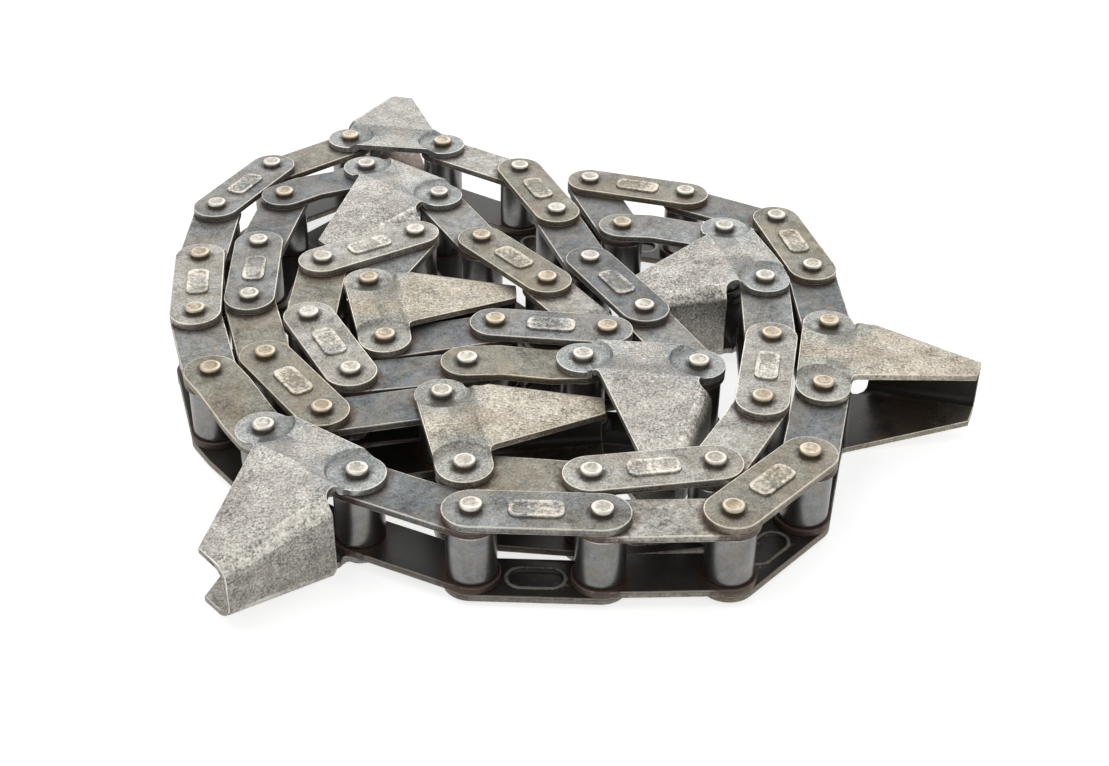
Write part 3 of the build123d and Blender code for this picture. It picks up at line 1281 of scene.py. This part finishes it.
        tree.links.new(metal, shader.inputs["Metallic"])
        bump = tree.nodes.new("ShaderNodeBump")
        bump.inputs["Strength"].default_value = finish.bump
        bump.inputs["Distance"].default_value = finish.bump_height
        tree.links.new(masks["height"], bump.inputs["Height"])
        tree.links.new(bump.outputs["Normal"], shader.inputs["Normal"])
        return material


PLATE_FINISHES = (
    SteelFinish("plate_grey", dark=(0.060, 0.065, 0.066), light=(0.330, 0.337, 0.328),
                worn_and_highlit=(0.70, 0.64, 0.54), grain_share=0.45, contrast=1.2),
    SteelFinish("plate_olive", dark=(0.074, 0.070, 0.058), light=(0.330, 0.312, 0.262),
                worn_and_highlit=(0.70, 0.62, 0.50), grain_share=0.45, contrast=1.2, rust_amount=0.7, tint_strength=0.4),
    SteelFinish("plate_silver", dark=(0.105, 0.101, 0.092), light=(0.510, 0.492, 0.450),
                worn_and_highlit=(0.78, 0.72, 0.62), contrast=1.2),
    SteelFinish("plate_oiled", dark=(0.040, 0.046, 0.050), light=(0.215, 0.226, 0.230),
                worn_and_highlit=(0.62, 0.57, 0.49), grain_share=0.4, contrast=1.15),
)
# Inner plates: a reddish-brown ring just outside the outer plates' round ends, greasy dirt and painted shade.
INNER_FINISHES = tuple(
    replace(finish, name=finish.name.replace("plate", "inner_plate"), grease_and_shade=(0.070, 0.034, 0.020),
            grease_inner=0.0096, grease_and_shade_outer=0.0124, grease_and_shade_strength=0.72)
    for finish in PLATE_FINISHES
)
LUG_SILVER = SteelFinish("lug_silver", dark=(0.100, 0.092, 0.083), light=(0.610, 0.585, 0.530),
                         worn_and_highlit=(0.90, 0.86, 0.77), grain_share=0.62, blotch_size=0.020, contrast=1.3,
                         rough_dark=0.50, rough_light=0.34, heat_strength=0.45, rust_amount=0.6, bump=0.3,
                         tint=(0.170, 0.142, 0.125))
LUG_TAN = replace(LUG_SILVER, name="lug_tan", dark=(0.100, 0.087, 0.066), light=(0.600, 0.555, 0.460),
                  worn_and_highlit=(0.88, 0.80, 0.67), speck_depth=0.55, heat_strength=0.4, rust_amount=1.0,
                  tint=(0.235, 0.190, 0.125), tint_strength=0.34)
LUG_FINISHES = (LUG_SILVER, LUG_TAN)
ROLLER_FINISH = SteelFinish("roller_smooth", dark=(0.130, 0.135, 0.135), light=(0.300, 0.305, 0.300),
                            worn_and_highlit=(0.60, 0.60, 0.58), grease_inner=0.0045, grease_and_shade_outer=0.0072,
                            rough_dark=0.36, rough_light=0.26, grain_share=0.3, speck_depth=0.15,
                            rust_amount=0.1, bump=0.06, near_floor_dark_strength=0.2, metal=0.9)
PIN_BRIGHT = SteelFinish("pin_bright", dark=(0.23, 0.210, 0.182), light=(0.45, 0.420, 0.372),
                         worn_and_highlit=(0.66, 0.625, 0.560), grease_inner=0.0004, grease_and_shade_outer=0.0026,
                         grease_and_shade_strength=0.12, rough_dark=0.42, rough_light=0.30, rough_worn_and_highlit=0.26,
                         wear_and_highlight_reach=0.62, blotch_size=0.004, rust_amount=0.1, metal=0.9, speck_depth=0.4)
PIN_BRONZE = replace(PIN_BRIGHT, name="pin_bronze", dark=(0.215, 0.172, 0.120), light=(0.40, 0.335, 0.245),
                     worn_and_highlit=(0.58, 0.505, 0.395), grease_and_shade_strength=0.14, rust_amount=0.5)
PIN_FINISHES = (PIN_BRIGHT, PIN_BRONZE)


# ---------------------------------------------------------------------------------------------------------
# The coil
# ---------------------------------------------------------------------------------------------------------


@dataclass
class Coil:
    """The whole chain: reads where the links lie, builds each kind once and lays the pieces."""

    frame: dict
    seed: int = 11
    dish_depths: tuple[float, ...] = (0.05 * MM, 0.2 * MM, 0.35 * MM)
    pin_variants: int = 6
    pins: dict[int, Vector] = field(default_factory=dict)
    kinds: dict[int, Kind] = field(default_factory=dict)

    def __post_init__(self) -> None:
        """Finds the links' kinds and the pins' places in the frame."""
        self.chance = random.Random(self.seed)
        for node in self.frame["nodes"]:
            word, _, number = node.partition("_link_")
            if number:
                self.kinds[int(number)] = Kind(word)
        for joint in self.frame["joints"]:
            word, _, number = joint["name"].partition("_")
            if word == "pivot":
                self.pins[int(number)] = Vector(joint["pos_m"])
        for number in self.kinds:
            if number not in self.pins:
                low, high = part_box(f"roller_{number:02d}")
                self.pins[number] = (low + high) / 2

    def place(self, number: int) -> LinkPlace:
        """Finds where a link lies, from its two pins.

        Args:
            number: The link's number round the loop.

        Returns:
            Its place.
        """
        start = self.pins[number]
        end = self.pins[(number + 1) % len(self.kinds)]
        heading = math.atan2(end.y - start.y, end.x - start.x)
        return LinkPlace(number, self.kinds[number], start, heading, start.z)

    def loose_roller(self, pin: int) -> bool:
        """Whether the roller at a pin is a body of its own."""
        return f"roller_{pin:02d}" in self.frame["nodes"]

    def build_meshes(self) -> None:
        """Builds the mesh of each repeated piece once."""
        ends, rollers = PinEnds(), RollerShape()
        both, first, second = (0.0, SIZES.pitch), (0.0,), (SIZES.pitch,)
        self.inner_plates = PlateShape().build_inner("inner_plates")
        self.outer_plates = PaddedPlateShape().build_outer("outer_plates")
        self.offset_plates = CrankedPlateShape().build_offset("offset_plates")
        first_lug = self.place(min(number for number, kind in self.kinds.items() if kind is Kind.LUG))
        lug_node = self.frame["nodes"][first_lug.node()]
        self.lug_sheet = LugShape().build(lug_node, first_lug.matrix(), "lug_sheet")
        self.rollers = {places: rollers.build(places, "rollers") for places in (both, first, second)}
        depths = [self.chance.choice(self.dish_depths) for _ in range(2 * self.pin_variants)]
        self.pin_pairs = [ends.build(both, pair, "pin_pair") for pair in zip(depths[::2], depths[1::2])]
        self.single_pins = [ends.build(second, (depth,), "pin") for depth in depths[:3]]

    def dress(self, makers: FinishMaker) -> None:
        """Makes the finishes.

        Args:
            makers: What turns a finish into a material.
        """
        self.plate_finishes = [makers.build(finish) for finish in PLATE_FINISHES]
        self.inner_finishes = [makers.build(finish) for finish in INNER_FINISHES]
        self.lug_finishes = [makers.build(finish) for finish in LUG_FINISHES]
        self.pin_finishes = [makers.build(finish) for finish in PIN_FINISHES]
        self.roller_finish = makers.build(ROLLER_FINISH)

    def lay_all(self) -> None:
        """Lays every link's pieces and the loose rollers."""
        layers = {Kind.INNER: self.lay_inner, Kind.OUTER: self.lay_outer, Kind.OFFSET: self.lay_offset,
                  Kind.LUG: self.lay_lug}
        for number in sorted(self.kinds):
            place = self.place(number)
            layers[place.kind](place)
        for number in filter(self.loose_roller, sorted(self.kinds)):
            self.lay_loose_roller(number)

    def lay_part(self, place: LinkPlace, part: str, mesh: bpy.types.Mesh, finish: bpy.types.Material,
                 stands_in: bool = False) -> None:
        """Lays one piece of a link.

        Args:
            place: Where the link lies.
            part: What the piece is, for the end of its name.
            mesh: Its mesh in the link's own frame.
            finish: Its material.
            stands_in: Whether it replaces the link's CAD node.
        """
        node = place.node()
        stands_for = node if stands_in else None
        lay_piece(mesh, f"{node}_{part}", place.matrix(), node, finish, stands_for)

    def lay_pins(self, place: LinkPlace, part: str, meshes: list[bpy.types.Mesh]) -> None:
        """Lays a link's pins, with ends and a finish drawn by chance.

        Args:
            place: Where the link lies.
            part: What they are called.
            meshes: The meshes to draw from.
        """
        mesh = self.chance.choice(meshes)
        self.lay_part(place, part, mesh, self.chance.choice(self.pin_finishes))

    def lay_plates(self, place: LinkPlace, mesh: bpy.types.Mesh, finishes: list[bpy.types.Material]) -> None:
        """Lays a link's two plates, in a finish drawn by chance, in the place of its CAD node.

        Args:
            place: Where the link lies.
            mesh: The plates' mesh.
            finishes: The materials to draw from.
        """
        self.lay_part(place, "plates", mesh, self.chance.choice(finishes), stands_in=True)

    def lay_rollers(self, place: LinkPlace, places: tuple[float, ...]) -> None:
        """Lays those of a link's rollers that aren't bodies of their own.

        Args:
            place: Where the link lies.
            places: Where the link's bushes stand along it.
        """
        ends = {0.0: place.number, SIZES.pitch: (place.number + 1) % len(self.kinds)}
        kept = tuple(where for where in places if not self.loose_roller(ends[where]))
        if kept:
            self.lay_part(place, "rollers", self.rollers[kept], self.roller_finish)

    def lay_inner(self, place: LinkPlace) -> None:
        """Lays an inner link: two plates on their bushes, and the rollers."""
        self.lay_plates(place, self.inner_plates, self.inner_finishes)
        self.lay_rollers(place, (0.0, SIZES.pitch))

    def lay_outer(self, place: LinkPlace) -> None:
        """Lays an outer link: two padded plates and two pins."""
        self.lay_plates(place, self.outer_plates, self.plate_finishes)
        self.lay_pins(place, "pins", self.pin_pairs)

    def lay_offset(self, place: LinkPlace) -> None:
        """Lays an offset link: two cranked plates, a bush, a roller and a pin.

        Args:
            place: Where the link lies.
        """
        self.lay_plates(place, self.offset_plates, self.plate_finishes)
        self.lay_rollers(place, (0.0,))
        self.lay_pins(place, "pin", self.single_pins)

    def lay_lug(self, place: LinkPlace) -> None:
        """Lays a lug link: the folded sheet and its two pins.

        Args:
            place: Where the link lies.
        """
        self.lay_part(place, "sheet", self.lug_sheet, self.chance.choice(self.lug_finishes),
                      stands_in=True)
        self.lay_pins(place, "pins", self.pin_pairs)

    def lay_loose_roller(self, number: int) -> None:
        """Lays a roller that turns by itself.

        Args:
            number: The number of the pin that it turns about.
        """
        body = f"roller_{number:02d}"
        lay_piece(self.rollers[(0.0,)], f"{body}_tube", Matrix.Translation(self.pins[number]), body,
                  self.roller_finish, stands_for=body)


# ---------------------------------------------------------------------------------------------------------
# Stage
# ---------------------------------------------------------------------------------------------------------


@dataclass(frozen=True)
class Lamp:
    """A soft square lamp: where it hangs and its side, both in metres, and its power in watts."""

    name: str
    place: tuple[float, float, float]
    size: float
    power: float


LAMPS = (
    Lamp("key", (-0.9, -0.2, 1.5), size=1.2, power=7.0),
    Lamp("fill", (1.2, -0.9, 1.0), size=1.0, power=1.5),
    Lamp("back", (0.1, 1.7, 1.35), size=2.2, power=19.0),
)


@dataclass
class Studio:
    """A white floor, soft light from above and the camera."""

    camera_place: tuple[float, float, float] = (-3.27 * MM, -560.11 * MM, 360.8 * MM)
    camera_pitch: float = 55.93
    camera_roll: float = 0.996
    lens: float = 54.43
    sensor: float = 36.0
    nearest: float = 0.01
    floor_half: float = 4.0
    floor_grey: float = 0.6
    floor_rough: float = 0.9
    floor_lift: float = 0.75
    world_light: float = 0.42

    def lay_camera(self) -> None:
        """Sets the camera at the viewing angle."""
        lens = bpy.data.cameras.new("camera")
        lens.lens = self.lens
        lens.sensor_width = self.sensor
        lens.clip_start = self.nearest
        camera = bpy.data.objects.new("camera", lens)
        camera.matrix_world = (Matrix.Translation(self.camera_place)
                               @ Matrix.Rotation(math.radians(self.camera_pitch), 4, "X")
                               @ Matrix.Rotation(math.radians(self.camera_roll), 4, "Z"))
        bpy.context.scene.collection.objects.link(camera)
        bpy.context.scene.camera = camera

    def lay_lamp(self, lamp: Lamp) -> None:
        """Hangs a lamp that points at the middle of the floor.

        Args:
            lamp: The lamp.
        """
        light = bpy.data.lights.new(lamp.name, "AREA")
        light.size = lamp.size
        light.energy = lamp.power
        hung = bpy.data.objects.new(lamp.name, light)
        hung.location = lamp.place
        hung.rotation_euler = (-Vector(lamp.place)).to_track_quat("-Z", "Y").to_euler()
        bpy.context.scene.collection.objects.link(hung)

    def seen_strength(self, tree: bpy.types.NodeTree, unseen: float, seen: float) -> bpy.types.NodeSocket:
        """Gives one strength to the rays that show the background and another to those that only light.

        Args:
            tree: The tree to add the nodes to.
            unseen: Strength for the rays that light the object's rough surfaces.
            seen: Strength for what the camera sees, straight, in polished metal or through glass.

        Returns:
            The strength.
        """
        path = tree.nodes.new("ShaderNodeLightPath")
        shown = path.outputs["Is Camera Ray"]
        for ray in ("Is Glossy Ray", "Is Transmission Ray"):
            both = tree.nodes.new("ShaderNodeMath")
            both.operation = "MAXIMUM"
            tree.links.new(shown, both.inputs[0])
            tree.links.new(path.outputs[ray], both.inputs[1])
            shown = both.outputs[0]
        strength = tree.nodes.new("ShaderNodeMapRange")
        strength.inputs["To Min"].default_value = unseen
        strength.inputs["To Max"].default_value = seen
        tree.links.new(shown, strength.inputs["Value"])
        return strength.outputs["Result"]

    def lay_world(self) -> None:
        """Lights everything softly from all round, over a background that shows as white."""
        world = bpy.data.worlds.new("studio")
        world.use_nodes = True
        bpy.context.scene.world = world
        back = world.node_tree.nodes["Background"]
        back.inputs["Color"].default_value = WHITE
        strength = self.seen_strength(world.node_tree, self.world_light, 1.0)
        world.node_tree.links.new(strength, back.inputs["Strength"])

    def floor_paint(self) -> bpy.types.Material:
        """Makes the floor's paint, which shows as white and keeps the shadows.

        Returns:
            The material.
        """
        paint = bpy.data.materials.new("floor_white")
        paint.use_nodes = True
        shader = paint.node_tree.nodes["Principled BSDF"]
        shader.inputs["Base Color"].default_value = (self.floor_grey, self.floor_grey, self.floor_grey, 1.0)
        shader.inputs["Roughness"].default_value = self.floor_rough
        shader.inputs["Specular IOR Level"].default_value = 0.0
        shader.inputs["Emission Color"].default_value = WHITE
        lift = self.seen_strength(paint.node_tree, 0.0, self.floor_lift)
        paint.node_tree.links.new(lift, shader.inputs["Emission Strength"])
        return paint

    def lay_floor(self) -> None:
        """Lays the floor."""
        bm = bmesh.new()
        bmesh.ops.create_grid(bm, x_segments=1, y_segments=1, size=self.floor_half)
        data = bpy.data.meshes.new("floor")
        bm.to_mesh(data)
        bm.free()
        data.materials.append(self.floor_paint())
        floor = bpy.data.objects.new("floor", data)
        bpy.context.scene.collection.objects.link(floor)

    def build(self) -> None:
        """Sets up the whole studio."""
        bpy.context.scene.view_settings.view_transform = "Standard"
        self.lay_camera()
        self.lay_world()
        self.lay_floor()
        for lamp in LAMPS:
            self.lay_lamp(lamp)


def main() -> None:
    """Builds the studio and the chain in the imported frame."""
    logging.basicConfig(level=logging.INFO, format="%(name)s: %(message)s")
    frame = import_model()
    Studio().build()
    coil = Coil(frame)
    coil.build_meshes()
    coil.dress(FinishMaker())
    coil.lay_all()


if __name__ == "__main__":
    main()
